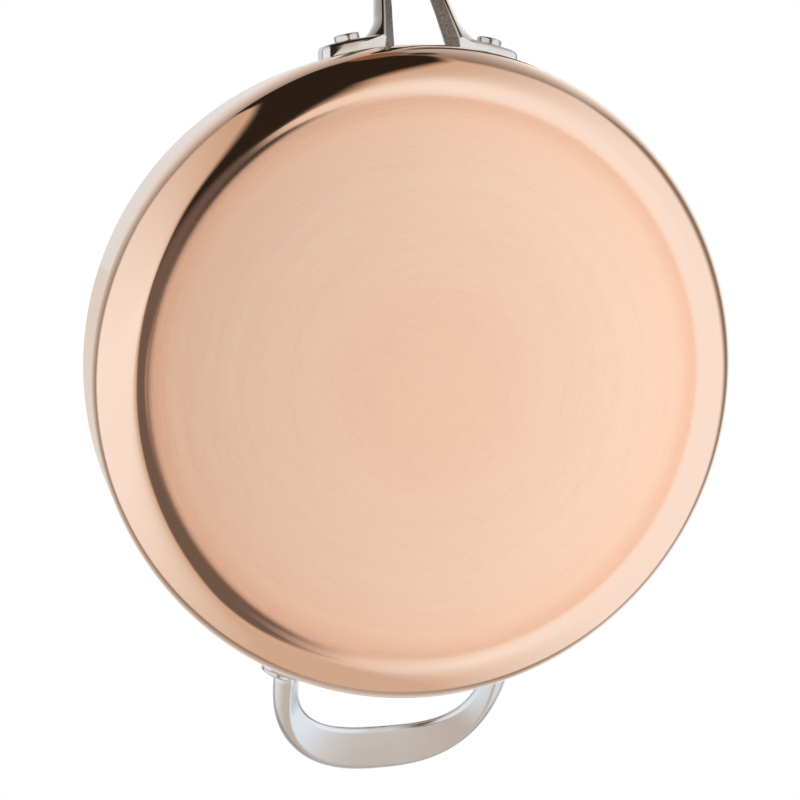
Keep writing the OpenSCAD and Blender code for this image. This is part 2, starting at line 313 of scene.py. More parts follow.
# The body's three plies. A guard is how far a line of points stands from a bend, to keep the shading
# of the flat beside it even.
body = {
    "radius": 140.0, "height": 70.0, "bend": 17.0, "discRadius": 119.8, "discStep": 0.06, "border": 0.2,
    "copper": 0.6, "aluminium": 1.5, "steel": 0.5, "rimChamfer": 0.2, "seatGap": 0.04,
    "softEdge": 1.2, "edgeGuard": 1.6, "floorGuards": (3.0, 0.3), "wallGuard": 0.5,
    "around": 360, "bendSteps": 20, "edgePoints": 9, "sharpAngle": 30,
}
wallDepth = body["copper"] + body["aluminium"] + body["steel"]
seatRadius = body["radius"] + body["seatGap"]


def turnedCopper():  # polished all over, with a finely turned disc on the base
    look = {
        "polished": paint(235, 208, 190), "middle": paint(255, 217, 193), "ring": paint(255, 221, 199),
        "edge": paint(255, 217, 192), "rim": paint(249, 201, 172),
        # where the disc ends, outwards and upwards, and where its next colour or finish sets in
        "discEnd": (116.2, 121.0), "discTop": (0.3, 1.2),
        "ringStart": (22, 62), "edgeStart": (88, 114), "rimStart": (108.0, 119.0), "smootherStart": (50, 105),
        "polishedRoughness": 0.05, "middleRoughness": 0.43, "edgeRoughness": 0.38,
        # scale, detail and, for some, roughness of the noise
        "fine": (1.1, 3.0, 0.7), "broad": (0.09, 2.0), "wave": (0.02, 1.0),
        # scale across the turning lines, scale along them, detail and roughness
        "marks": (0.35, 2.2, 3.0, 0.6), "hair": (1.7, 13, 4.0, 0.75), "axisRadius": 0.5,
        "baseTone": 0.8, "fineTone": 0.08, "broadTone": 0.06, "marksTone": 0.07, "hairTone": 0.2,
        "fineSheen": 0.05, "marksSheen": 0.06, "fineDepth": 0.3, "hairDepth": 0.15, "waveDepth": 4,
        "bump": (0.1, 0.0002),
    }
    material, tree = newMaterial("polished_copper")
    x, y, z = tree.place()
    r = tree.radius(x, y)
    turn = r.atLeast(look["axisRadius"])

    def turningLines(acrossScale, alongScale, detail, roughness):
        place = (r * acrossScale, x / turn * alongScale, y / turn * alongScale)
        return tree.noise(place, 1.0, detail, roughness)

    onDisc = (1 - r.smooth(*look["discEnd"])) * (1 - z.smooth(*look["discTop"]))
    fine = tree.lines(r, *look["fine"])
    broad = tree.lines(r, *look["broad"])
    marks = turningLines(*look["marks"])
    hair = turningLines(*look["hair"])
    turned = tree.mixColour(r.smooth(*look["ringStart"]), look["middle"], look["ring"])
    turned = tree.mixColour(r.smooth(*look["edgeStart"]), turned, look["edge"])
    turned = tree.mixColour(r.smooth(*look["rimStart"]), turned, look["rim"])
    tone = fine * look["fineTone"] + broad * look["broadTone"] + marks * look["marksTone"]
    tone = tone + hair * look["hairTone"] + look["baseTone"]
    turned = tree.mixColour(1.0, turned, tree.join(tone, tone, tone), "MULTIPLY")
    colour = tree.mixColour(onDisc, look["polished"], turned)
    towardsEdge = look["edgeRoughness"] - look["middleRoughness"]
    rough = r.smooth(*look["smootherStart"]) * towardsEdge + look["middleRoughness"]
    rough = rough + (fine - 0.5) * look["fineSheen"] + (marks - 0.5) * look["marksSheen"]
    roughness = onDisc * (rough - look["polishedRoughness"]) + look["polishedRoughness"]
    wave = tree.noise((x, y, z), *look["wave"]) * look["waveDepth"]
    height = (fine * look["fineDepth"] + hair * look["hairDepth"]) * onDisc + wave
    tree.metal(colour, roughness, tree.bump(height, *look["bump"]))
    return material


def satinAluminium():
    look = {"low": paint(196, 198, 201), "high": paint(214, 216, 218), "grainScale": 0.8,
            "roughness": 0.3, "roughnessSpread": 0.1}
    material, tree = newMaterial("satin_aluminium")
    grain = tree.noise(tree.place(), look["grainScale"])
    colour = tree.mixColour(grain, look["low"], look["high"])
    tree.metal(colour, grain * look["roughnessSpread"] + look["roughness"])
    return material


def turnedSteel():  # fine turning lines on the floor, and lines round the wall
    look = {"low": paint(196, 196, 195), "high": paint(216, 216, 214), "toneBand": (0.25, 0.75),
            "wallStart": (8.0, 14.0), "floorLines": (1.2, 3.0, 0.7), "wallLines": (1.5, 3.0, 0.7),
            "roughness": 0.2, "roughnessSpread": 0.14, "bump": (0.08, 0.0002)}
    material, tree = newMaterial("turned_steel")
    x, y, z = tree.place()
    onWall = z.smooth(*look["wallStart"])
    floorLines = tree.lines(tree.radius(x, y), *look["floorLines"])
    fine = floorLines * (1 - onWall) + tree.lines(z, *look["wallLines"]) * onWall
    colour = tree.mixColour(fine.smooth(*look["toneBand"]), look["low"], look["high"])
    tree.metal(colour, fine * look["roughnessSpread"] + look["roughness"], tree.bump(fine, *look["bump"]))
    return material


# A bowl's outline at a depth into the wall, from the middle of its floor up to its rim: straight
# floor, quarter bend, straight wall.
def bowlLine(depth, top):
    r, bend = body["radius"] - depth, body["bend"] - depth
    floor = body["border"] + depth if depth else body["discStep"]
    curve = arc((r - bend, floor + bend), bend, -90, 0, body["bendSteps"])
    flat = [[0, floor]] + [[r - bend - guard, floor] for guard in body["floorGuards"]]
    return np.concatenate([flat, curve, [[r, floor + bend + body["wallGuard"]], [r, top]]])


# The turned disc stands a little proud of the polished border. Its edge is an eased step.
def discLine():
    edge, step, soft, guard = (body[name] for name in ("discRadius", "discStep", "softEdge", "edgeGuard"))
    r = np.linspace(edge - soft, edge + soft, body["edgePoints"])
    rise = np.stack([r, step * ease((r - r[0]) / (r[-1] - r[0]))], 1)
    return np.concatenate([[[0, 0], [edge / 2, 0], [edge - guard, 0]], rise, [[edge + guard, step]]])


# Each ply is lathed from its outer line and its inner line. The disc's line takes the place of the
# first two points of the copper's floor, and the rim's two outermost edges are chamfered.
def makeBody():
    top, chamfer = body["height"], body["rimChamfer"]
    depths = [0.0, body["copper"], body["copper"] + body["aluminium"], wallDepth]
    plies = [("copper_shell", "copper", turnedCopper()),
             ("aluminium_core", "core_aluminium", satinAluminium()),
             ("steel_lining", "lining_steel", turnedSteel())]
    for number, (node, slot, material) in enumerate(plies):
        outer = bowlLine(depths[number], top)
        inner = bowlLine(depths[number + 1], top)[::-1]
        if node == "copper_shell":
            outer[-1, 1] -= chamfer
            outer = np.concatenate([discLine(), outer[2:], [[body["radius"] - chamfer, top]]])
        if node == "steel_lining":
            inner[0, 1] -= chamfer
            inner = np.concatenate([[[body["radius"] - wallDepth + chamfer, top]], inner])
        points, faces = lathe(np.concatenate([outer, inner]), body["around"])
        finishPiece(newPiece("drawn_" + node, points, faces), material, node, body["sharpAngle"])


makeBody()
print("body plies turned")


# Rounds every corner of closed outlines, an array of (outline, corner, 2). A corner p between
# neighbours becomes the curve (1-t)^2 p1 + 2t(1-t) p + t^2 p2, where p1 and p2 lie on its two
# sides, no further than the radius and never past a share of the side. A side counts as no
# shorter than the shortest, so that none divides by zero.
def roundCorners(outlines, radii, steps=5, sideShare=0.42, shortest=1e-9):
    before = np.roll(outlines, 1, 1) - outlines
    after = np.roll(outlines, -1, 1) - outlines
    lengths = [np.maximum(np.linalg.norm(side, axis=-1, keepdims=True), shortest) for side in (before, after)]
    radii = np.asarray(radii, float).reshape(1, -1, 1)
    start = outlines + before / lengths[0] * np.minimum(radii, lengths[0] * sideShare)
    end = outlines + after / lengths[1] * np.minimum(radii, lengths[1] * sideShare)
    t = np.linspace(0, 1, steps).reshape(1, 1, -1, 1)
    curve = (1 - t) ** 2 * start[:, :, None] + 2 * t * (1 - t) * outlines[:, :, None]
    curve = curve + t ** 2 * end[:, :, None]
    return curve.reshape(len(outlines), -1, 2)


# Outline of a rounded rectangle in [y, z], drawn in by an inset, with its corner radius less the
# inset. Every stretch between two points of the corners' arcs is cut into equal parts.
def roundedOutline(low, high, corner, inset, steps=8, parts=4):
    r = max(corner - inset, 0.0)
    middle = np.add(low, high) / 2
    inLow = np.minimum(np.add(low, inset + r), middle)
    inHigh = np.maximum(np.subtract(high, inset + r), middle)
    centres = [inHigh, (inLow[0], inHigh[1]), inLow, (inHigh[0], inLow[1])]
    quarters = [arc(centre, r, 90 * turn, 90 * turn + 90, steps) for turn, centre in enumerate(centres)]
    outline = np.concatenate(quarters)
    share = (np.arange(parts) / parts).reshape(1, -1, 1)
    return mix(outline[:, None], np.roll(outline, -1, 0)[:, None], share).reshape(-1, 2)


wallTabs = {"rootDepth": 1.0, "rootRings": 5, "edgeRings": 6, "faceRings": 8,
            "cutterOver": 5.0, "cutterAround": 720}


# A tab on the wall: rings of a rounded outline, first let out across the seat, then round the
# face's edge, then drawn in across the face. A point at radius r lies at x = sqrt(r^2 - y^2).
def wallTab(name, low, high, corner, thickness, edge, bearing=0.0):
    half = min(high[0] - low[0], high[1] - low[1]) / 2
    root, face = body["radius"] - wallTabs["rootDepth"], body["radius"] + thickness
    turn = np.radians(np.linspace(0, 90, wallTabs["edgeRings"]))
    rings = [(inset, root) for inset in np.linspace(half, 0, wallTabs["rootRings"])]
    rings += [(edge * (1 - np.cos(a)), face - edge * (1 - np.sin(a))) for a in turn]
    rings += [(inset, face) for inset in np.linspace(edge, half, wallTabs["faceRings"])[1:]]
    loops = []
    for inset, r in rings:
        outline = roundedOutline(low, high, corner, inset)
        loops.append(np.stack([np.sqrt(r ** 2 - outline[:, 0] ** 2), outline[:, 0], outline[:, 1]], 1))
    a = np.radians(bearing)
    swing = np.array([[np.cos(a), np.sin(a), 0], [-np.sin(a), np.cos(a), 0], [0, 0, 1]])
    return newPiece(name, np.concatenate(loops) @ swing, gridFaces(len(loops), len(loops[0])).tolist())


def wallCutter():  # everything inside the wall's seat
    low, high = -wallTabs["cutterOver"], body["height"] + wallTabs["cutterOver"]
    profile = [[0, low], [seatRadius, low], [seatRadius, high], [0, high]]
    points, faces = lathe(profile, wallTabs["cutterAround"])
    return newPiece("wall_cutter", points, faces)


castLook = {
    # scale, detail and, for one, roughness of the noise
    "cloud": (0.03, 2.0), "peel": (0.08, 1.0), "grit": (2.0, 2.0), "rawGrain": (0.9, 4.0, 0.7),
    "cloudSheen": 0.05, "gritSheen": 0.015, "sheenMiddle": 0.03, "bump": (0.1, 0.0008),
    # the two dark colours below are painted shade for the faces that look into the slot, with grain in it
    "shadedRawDark": paint(112, 106, 101), "shadedRawLight": paint(158, 150, 143), "shadedRawBand": (0.3, 0.7),
    "rawRoughness": 0.42, "rawRoughnessSpread": 0.1, "rawDepth": 0.25,
}


# Cast steel with the soft waviness of hand polishing. Where a mask of the point is given, the metal is
# grainy and dull there, as cast, and darker, and that darker colour is painted shade.
def castSteel(name, dark, light, finish, rawAndShadeMask=None):
    look = castLook
    material, tree = newMaterial(name)
    point = tree.place()
    cloud = tree.noise(point, *look["cloud"])
    peel = tree.noise(point, *look["peel"])
    grit = tree.noise(point, *look["grit"])
    colour = tree.mixColour(cloud, dark, light)
    roughness = cloud * look["cloudSheen"] + grit * look["gritSheen"] + (finish - look["sheenMiddle"])
    height = peel
    if rawAndShadeMask:
        rawAndShade, grain = rawAndShadeMask(*point), tree.noise(point, *look["rawGrain"])
        # painted shade: the masked faces get a darker, grainy colour, while their roughness and bump are a
        # dull cast finish
        shadedRawColour = tree.mixColour(grain.smooth(*look["shadedRawBand"]), look["shadedRawDark"], look["shadedRawLight"])
        colour = tree.mixColour(rawAndShade, colour, shadedRawColour)
        rawRoughness = grain * look["rawRoughnessSpread"] + look["rawRoughness"]
        roughness = rawAndShade * (rawRoughness - roughness) + roughness
        height = rawAndShade * grain * look["rawDepth"] + peel
    tree.metal(colour, roughness, tree.bump(height, *look["bump"]))
    return material


# The long handle: two legs rise from feet on the wall and meet in a stick with a palm and a hole.
# Slopes are degrees.
longHandle = {
    "reach": 225.0, "rivetZ": 33.0, "forkSlope": 41.0, "forkRun": 42.0, "bendRadius": 60.0,
    "stickSlope": 20.0, "endSlope": 9.0, "rootIn": 8.0, "gapRoot": 11.4, "gapTip": 5.2, "gapRun": 48.0,
    "gapPower": 1.2, "forkRoot": 21.1, "forkPower": 1.4, "neckHalf": 9.6, "palmHalf": 12.6,
    "neckShare": 0.4, "palmShare": 0.72, "legThick": 8.6, "palmThick": 9.6, "tipThick": 6.4,
    "bellyShare": 0.26, "bellyEndShare": 0.52, "flare": 6.5, "flareRun": 16.0, "ridgeLift": 0.5,
    "ridgeShare": 0.56, "lip": 1.2, "gapMostShare": 0.55, "shoulderShare": 0.82, "deepRun": 22.0,
    "sideLowShares": (-0.09, 0.22), "sideHighShares": (0.24, 0.4),
    "cornerRadii": [0, 0.9, 1.2, 1.1, 1.6, 2.2, 2.2, 2.0, 2.0, 1.2, 0.9, 0], "footReach": 42.8,
    "footHeight": 14.4, "footThick": 5.1, "footCorner": 3.6, "footEdge": 1.7, "footIn": 2.4,
    "holeDiameter": 10.0, "holeIn": 14.5, "holeRound": 1.0, "landDiameter": 16.0, "landThick": 7.0,
    "landChamfer": 0.6, "over": 4.0, "around": 96,
    "belowIn": 40.0, "belowHalf": 50.0, "belowLow": -20.0,  # the block that cuts the legs off below the feet
    "rootRings": 5, "legRings": 56, "slotEndRings": 13, "stickRings": 90, "tipRings": 22,
    "lastTipAngle": 89.2, "searchPoints": 4000,
    # the faces with painted shade and a dull cast finish, by the ridge that bounds them and where they fade
    # out
    "ridgeRoot": 16.8, "ridgeTaper": -0.157, "rawShadeRidgeFade": (-0.9, -0.1), "rawShadeTopFade": (1.6, 2.8),
    "rawShadeEndFade": (184.0, 192.0), "rawShadeRun": 70.0, "rawShadePoints": 9, "dark": paint(205, 206, 207),
    "light": paint(221, 222, 222), "roughness": 0.08,
}


# Middle line by the length s along it: straight and steep, then a bend, then a long flat arc. The
# fork starts at x0, z0, the bend at x1, z1 and the flat arc at x2, z2.
def longLine():
    h = longHandle
    steep, flat, end = np.radians([h["forkSlope"], h["stickSlope"], h["endSlope"]])
    footLow = h["rivetZ"] - h["footHeight"] / 2
    x0 = body["radius"]
    z0 = footLow + h["ridgeLift"] + h["legThick"] / (2 * np.cos(steep)) - h["footThick"] * np.tan(steep)
    x1, z1 = x0 + h["forkRun"] * np.cos(steep), z0 + h["forkRun"] * np.sin(steep)
    bend = h["bendRadius"]
    s2 = h["forkRun"] + bend * (steep - flat)
    x2, z2 = x1 + bend * (np.sin(steep) - np.sin(flat)), z1 + bend * (np.cos(flat) - np.cos(steep))
    big = (x0 + h["reach"] - x2) / (np.sin(flat) - np.sin(end))

    def at(s):
        s = np.asarray(s, float)
        inFork, inBend = s < h["forkRun"], s < s2
        bendAngle, stickAngle = steep - (s - h["forkRun"]) / bend, flat - (s - s2) / big
        angle = np.where(inFork, steep, np.where(inBend, bendAngle, stickAngle))
        bendX = x1 + bend * (np.sin(steep) - np.sin(angle))
        bendZ = z1 + bend * (np.cos(angle) - np.cos(steep))
        stickX = x2 + big * (np.sin(flat) - np.sin(angle))
        stickZ = z2 + big * (np.cos(angle) - np.cos(flat))
        x = np.where(inFork, x0 + s * np.cos(steep), np.where(inBend, bendX, stickX))
        z = np.where(inFork, z0 + s * np.sin(steep), np.where(inBend, bendZ, stickZ))
        return x, z, angle

    return at, s2 + big * (flat - end)


lineAt, longLength = longLine()


def flareAt(s):  # extra width near the wall, as the square of the share of the run that is left
    return longHandle["flare"] * clampShare(1 - s / longHandle["flareRun"]) ** 2


# Half the outer width: it narrows from the wall to the neck, widens to the palm, flares at the wall
# and is rounded off at the tip.
def sideWidth(s):
    h = longHandle
    neck, palm, tip = h["neckShare"] * longLength, h["palmShare"] * longLength, h["palmHalf"]
    fork = mix(h["forkRoot"], h["neckHalf"], 1 - (1 - clampShare(s / neck)) ** h["forkPower"])
    stick = mix(h["neckHalf"], h["palmHalf"], ease((s - neck) / (palm - neck)))
    intoTip = clampShare((s - longLength + tip) / tip)
    return (np.where(s < neck, fork, stick) + flareAt(s)) * np.sqrt(1 - intoTip ** 2)


def bodyThickness(s):  # eased between leg, palm and tip, whose end closes up as the root of 1 - share^4
    h = longHandle
    neck, palm, tip = h["neckShare"] * longLength, h["palmShare"] * longLength, h["palmHalf"]
    toPalm = mix(h["legThick"], h["palmThick"], ease((s - neck) / (palm - neck)))
    toTip = mix(h["palmThick"], h["tipThick"], ease((s - palm) / (longLength - tip - palm)))
    intoTip = clampShare((s - longLength + tip) / tip)
    return np.where(s < neck, h["legThick"], np.where(s < palm, toPalm, toTip)) * np.sqrt(1 - intoTip ** 4)


def gapHalf(x):  # half the slot's width, which narrows as a power of the share of its run
    h = longHandle
    return mix(h["gapRoot"], h["gapTip"], clampShare((x - body["radius"]) / h["gapRun"]) ** h["gapPower"])


# Where rings stand along the middle line. Round the slot's end and the tip they are closer
# together, as the sine of an even turn.
def ringPlaces(slotStart, slotEnd):
    h = longHandle
    tip = h["palmHalf"]
    tipStart = longLength - tip
    slotTurn = np.radians(np.linspace(0, 90, h["slotEndRings"]))
    tipTurn = np.radians(np.linspace(0, h["lastTipAngle"], h["tipRings"]))
    return np.concatenate([
        np.linspace(-h["rootIn"], 0, h["rootRings"])[:-1],
        np.linspace(0, slotStart, h["legRings"])[:-1],
        slotStart + (slotEnd - slotStart) * np.sin(slotTurn),
        np.linspace(slotEnd, tipStart, h["stickRings"])[1:-1],
        tipStart + tip * np.sin(tipTurn)])


# One half of the handle: rings of a rounded section with a ridge below each leg, which fills up
# into the stick's round belly. Where the slot is, a ring closes along the slot's side. Beyond the
# slot a ring is open at y = 0, where the other half joins it. The slot's end is a half circle.
def longHalf(side):
    h = longHandle
    fine = np.linspace(0, longLength, h["searchPoints"])
    slotX = body["radius"] + h["gapRun"]
    slotStart, slotEnd = np.interp([slotX, slotX + h["gapTip"]], lineAt(fine)[0], fine)
    s = ringPlaces(slotStart, slotEnd)
    x, z, angle = lineAt(s)
    w, t = sideWidth(s), bodyThickness(s)
    belly = ease((s / longLength - h["bellyShare"]) / (h["bellyEndShare"] - h["bellyShare"]))
    inSlot = s < slotEnd - tiny
    past = clampShare((x - slotX) / h["gapTip"])
    slot = np.where(inSlot, gapHalf(x) * np.sqrt(1 - past ** 2), 0.0)
    gap = np.minimum(gapHalf(x), w * h["gapMostShare"])
    lip = np.where(inSlot, np.maximum(gap, slot + h["lip"]), gap)
    ridge = mix(gap, w - flareAt(s), h["ridgeShare"])
    shoulder = h["shoulderShare"] * w
    lowRun, highRun = clampShare((lip - gap) / (ridge - gap)), clampShare((lip - gap) / (shoulder - gap))
    deep = 1 - clampShare(s / h["deepRun"])
    sideLow, sideHigh = mix(*h["sideLowShares"], deep), mix(*h["sideHighShares"], deep)
    slotSide, zero = np.where(inSlot, slot, gap / 2), np.zeros_like(s)
    # the leg's points, as a width and a share of the thickness, and the stick's, as shares of both
    leg = [(zero, -0.08), (slotSide, sideLow), (lip, mix(sideLow, -0.5, lowRun)), (ridge, -0.5),
           (mix(ridge, w, 0.82), -0.2), (w, -0.06), (w, 0.14), (0.95 * w, 0.31), (shoulder, 0.42),
           (lip, mix(sideHigh, 0.42, highRun)), (slotSide, sideHigh), (zero, 0.22)]
    stick = [(0, -0.5), (0.12, -0.497), (0.25, -0.485), (0.56, -0.43), (0.84, -0.3), (0.97, -0.12), (1, 0.05),
             (0.95, 0.24), (0.84, 0.36), (0.45, 0.47), (0.2, 0.495), (0, 0.5)]
    outline = np.stack([np.stack([mix(across, w * stickAcross, belly), t * mix(up, stickUp, belly)], 1)
                        for (across, up), (stickAcross, stickUp) in zip(leg, stick)], 1)
    for corner, share in ((0, 0.35), (11, 0.65)):  # the slot's side
        outline[inSlot, corner] = np.stack([slot, t * mix(sideLow, sideHigh, share)], 1)[inSlot]
    for corner in (1, 10):
        outline[inSlot, corner, 0] = slot[inSlot]
    steps = 5
    rings = roundCorners(outline, h["cornerRadii"], steps)
    rings = np.concatenate([outline[:, :1], rings[:, steps:-steps], outline[:, -1:]], 1)
    y, up = rings[..., 0] * side, rings[..., 1]
    lean, rise = np.sin(angle)[:, None], np.cos(angle)[:, None]
    points = np.stack([x[:, None] - up * lean, y, z[:, None] + up * rise], -1)
    count = points.shape[1]
    faces = gridFaces(len(s), count)
    closing = faces[:, 0] % count == count - 1
    faces = faces[~closing | inSlot[faces[:, 0] // count]]
    return points.reshape(-1, 3), faces.tolist() + endFaces(len(s), count)


# The faces of the legs that look into the slot, from the ridge inwards and below the upper side, where the
# steel gets painted shade and a dull cast finish.
def slotSides(x, y, z):
    h = longHandle
    lineX, lineZ, _ = lineAt(np.linspace(0, h["rawShadeRun"], h["rawShadePoints"]))
    middle = x.curve(list(zip(lineX.tolist(), lineZ.tolist())))
    ridge = (x - body["radius"]) * h["ridgeTaper"] + h["ridgeRoot"]
    inside = 1 - (y.absolute() - ridge).smooth(*h["rawShadeRidgeFade"])
    return inside * (1 - (z - middle).smooth(*h["rawShadeTopFade"])) * (1 - x.smooth(*h["rawShadeEndFade"]))


def blockBelowFeet(top):
    h = longHandle
    inner, outer, half = body["radius"] - h["belowIn"], body["radius"] + h["footThick"], h["belowHalf"]
    points = [[x, y, z] for x in (inner, outer) for y in (-half, half) for z in (h["belowLow"], top)]
    faces = [[0, 1, 3, 2], [4, 6, 7, 5], [0, 4, 5, 1], [2, 3, 7, 6], [0, 2, 6, 4], [1, 5, 7, 3]]
    return newPiece("below_feet", points, faces)


# The hanging hole's land, a chamfered disc, and the drill that cuts the hole and rounds its edges.
def holeTools():
    h = longHandle
    hole, land, thick = h["holeDiameter"] / 2, h["landDiameter"] / 2, h["landThick"] / 2
    chamfer, r, over = h["landChamfer"], h["holeRound"], h["over"]
    x, z, angle = (float(value) for value in lineAt(longLength - h["holeIn"]))
    tilt = np.array([[np.cos(angle), 0, np.sin(angle)], [0, 1, 0], [-np.sin(angle), 0, np.cos(angle)]])
    pad, padFaces = lathe([[0, -thick], [land - chamfer, -thick], [land, chamfer - thick],
                           [land, thick - chamfer], [land - chamfer, thick], [0, thick]], h["around"])
    upper = np.concatenate([arc((hole + r, thick - r), r, 180, 90, 6), [[hole + r, thick + over]]])
    profile = np.concatenate([[[0, -thick - over]], upper[::-1] * [1, -1], upper, [[0, thick + over]]])
    drill, drillFaces = lathe(profile, h["around"])
    place = [x, 0, z]
    return newPiece("land", pad @ tilt + place, padFaces), newPiece("drill", drill @ tilt + place, drillFaces)


def makeLongHandle():
    h = longHandle
    left, leftFaces = longHalf(1.0)
    right, rightFaces = longHalf(-1.0)
    rightFaces = [[index + len(left) for index in face] for face in rightFaces]
    handle = newPiece("cast_main_handle", np.concatenate([left, right]), leftFaces + rightFaces)
    low, high = h["rivetZ"] - h["footHeight"] / 2, h["rivetZ"] + h["footHeight"] / 2
    combine(handle, "DIFFERENCE", blockBelowFeet(low))
    inner, outer = h["gapRoot"] + h["footIn"], h["footReach"]
    feet = [wallTab("foot", (start, low), (end, high), h["footCorner"], h["footThick"], h["footEdge"])
            for start, end in ((inner, outer), (-outer, -inner))]
    combine(handle, "UNION", *feet)
    land, drill = holeTools()
    combine(handle, "UNION", land)
    combine(handle, "DIFFERENCE", drill, wallCutter())
    # the slot's faces get painted shade, a darker colour, over a dull cast finish
    steel = castSteel("polished_cast_steel", h["dark"], h["light"], h["roughness"], slotSides)
    finishPiece(handle, steel, "main_handle")


makeLongHandle()
print("long handle cast")


# The loop handle: a loop that rises from two pads on the wall.
loopHandle = {
    "drop": 7.0, "slope": 28.0, "reach": 68.4, "gap": 41.2, "half": 57.0, "legWidth": 12.5, "legThick": 9.0,
    "gripThick": 8.4, "outerPower": 2.4, "innerPower": 3.0, "levelRun": 3.0, "legIn": 14.0,
    "legRidgeShare": 0.38, "gripRidgeShare": 0.8, "rings": 160,
    "cornerRadii": [1.0, 1.6, 2.5, 3.5, 2.5, 1.6, 1.6, 1.6, 1.6, 1.3, 0.9],
    "padWidth": 16.6, "padHeight": 38.0, "padThick": 4.2, "padCorner": 4.0, "padEdge": 1.4, "padOut": 3.0,
    "padDrop": 32.5, "dark": paint(204, 209, 216), "light": paint(220, 225, 231), "roughness": 0.2,
}


# The loop by its angle a from one leg (0) to the other (180), in a plane that rises from the wall.
# Its two edges are u = reach sin(a)^(2/p), v = half cos(a)^(2/p), and its section lies between them.
# The angles are closer together at the legs: a = 90 (1 - cos(180 share)).
def loopRings():
    h = loopHandle
    slope, level = np.radians(h["slope"]), h["levelRun"]
    a = np.pi / 2 * (1 - np.cos(np.linspace(0, np.pi, h["rings"] + 1)))
    sine, cosine = np.maximum(np.sin(a), 0), np.cos(a)

    def edge(reach, half, power):
        return reach * sine ** (2 / power), half * np.sign(cosine) * np.abs(cosine) ** (2 / power)

    outU, outV = edge(h["reach"], h["half"], h["outerPower"])
    inU, inV = edge(h["gap"], h["half"] - h["legWidth"], h["innerPower"])
    toGrip = ease(sine)
    thick = mix(h["legThick"], h["gripThick"], toGrip)
    ridge = mix(h["legRidgeShare"], h["gripRidgeShare"], toGrip)
    # shares of the width, from the inner edge, and of the thickness
    section = [(0, 0.06), (0.06, 0.27), (0.22, 0.4), (0.5, 0.5), (0.8, 0.38), (0.95, 0.22), (1, 0),
               (0.96, -0.22), (mix(ridge, 1, 0.6), -0.43), (ridge, -0.57), (0.07, -0.12)]
    width = np.hypot(outU - inU, outV - inV)
    outline = np.stack([np.stack([width * across, thick * up], 1) for across, up in section], 1)
    rings = roundCorners(outline, h["cornerRadii"])
    share, height = rings[..., 0] / width[:, None], rings[..., 1]
    u, v = mix(inU[:, None], outU[:, None], share), mix(inV[:, None], outV[:, None], share)
    run = u * np.cos(slope)  # the loop leaves the wall level, and turns up to its slope over the level run
    rise = np.tan(slope) * np.where(run < level, run ** 2 / (2 * level), run - level / 2)
    lean = np.sin(slope) * clampShare(u / level)
    base = body["height"] - h["drop"]
    points = np.stack([-body["radius"] - run + height * lean, v, base + rise + height], -1)
    roots = []  # the legs run on into the wall, where they are cut off
    for end, inwards in ((0, h["legIn"]), (0, h["legIn"] / 2), (-1, h["legIn"] / 2), (-1, h["legIn"])):
        ring = points[end].copy()
        ring[:, 0] = inwards - body["radius"]
        ring[:, 2] = base + height[end]
        roots.append(ring[None])
    return np.concatenate([roots[0], roots[1], points, roots[2], roots[3]])


def padBearing():  # degrees from the loop's middle to a pad's
    h = loopHandle
    return float(np.degrees(np.arcsin((h["half"] + h["padOut"]) / (body["radius"] + h["padThick"]))))


def makeLoopHandle():
    h = loopHandle
    rings = loopRings()
    rows, columns = rings.shape[:2]
    faces = gridFaces(rows, columns).tolist() + endFaces(rows, columns)
    handle = newPiece("cast_helper_handle", rings.reshape(-1, 3), faces)
    half, low = h["padWidth"] / 2, body["height"] - h["padDrop"] - h["padWidth"] / 2
    pads = [wallTab("pad", (-half, low), (half, low + h["padHeight"]), h["padCorner"], h["padThick"],
                    h["padEdge"], 180 + side * padBearing()) for side in (1, -1)]
    combine(handle, "UNION", *pads)
    combine(handle, "DIFFERENCE", wallCutter())
    steel = castSteel("satin_cast_steel", h["dark"], h["light"], h["roughness"])
    finishPiece(handle, steel, "helper_handle")


makeLoopHandle()
print("loop handle cast")


rivets = {
    "shank": 6.0, "innerDiameter": 12.0, "innerHeight": 2.0, "innerRimShare": 0.35, "footHead": 11.0,
    "footOut": 31.0, "padHead": 14.2, "headHeight": 2.9, "headRound": 0.9, "footDome": 0.25, "padDome": 1.2,
    "around": 96, "roundSteps": 8, "innerPoints": 9, "sharpAngle": 40,
}


def satinSteel():
    look = {"low": paint(196, 197, 198), "high": paint(214, 214, 214), "cloudScale": 0.12, "gritScale": 2.5,
            "roughness": 0.16, "roughnessSpread": 0.08, "bump": (0.05, 0.0002)}
    material, tree = newMaterial("rivet_steel")
    point = tree.place()
    cloud, grit = tree.noise(point, look["cloudScale"]), tree.noise(point, look["gritScale"])
    colour = tree.mixColour(cloud, look["low"], look["high"])
    tree.metal(colour, cloud * look["roughnessSpread"] + look["roughness"], tree.bump(grit, *look["bump"]))
    return material


# Half outline of a set rivet about its axis, from the middle of the outer head to the middle of the
# inner one. A dome falls from its middle as the square of the radius.
def rivetLine(head, dome, clamped):
    p = rivets
    seat = body["radius"] + clamped + body["seatGap"]
    lining = body["radius"] - wallDepth
    small, height = p["innerDiameter"] / 2, p["innerHeight"]
    inner = np.sqrt(lining ** 2 - small ** 2) - body["seatGap"]
    rim, r, edge = seat + p["headHeight"], head / 2, p["headRound"]
    across = np.linspace(0, r - edge, p["roundSteps"])
    crown = np.stack([across, rim - dome * (across / (r - edge)) ** 2], 1)
    corner = arc((r - edge, rim - dome - edge), edge, 90, 0, p["roundSteps"])[1:]
    back = np.linspace(small, 0, p["innerPoints"])
    low = height * p["innerRimShare"]
    dish = np.stack([back, inner - low - (height - low) * (1 - (back / small) ** 2)], 1)
    shank = p["shank"] / 2
    return np.concatenate([crown, corner, [[r, seat], [shank, seat], [shank, inner], [small, inner]], dish])


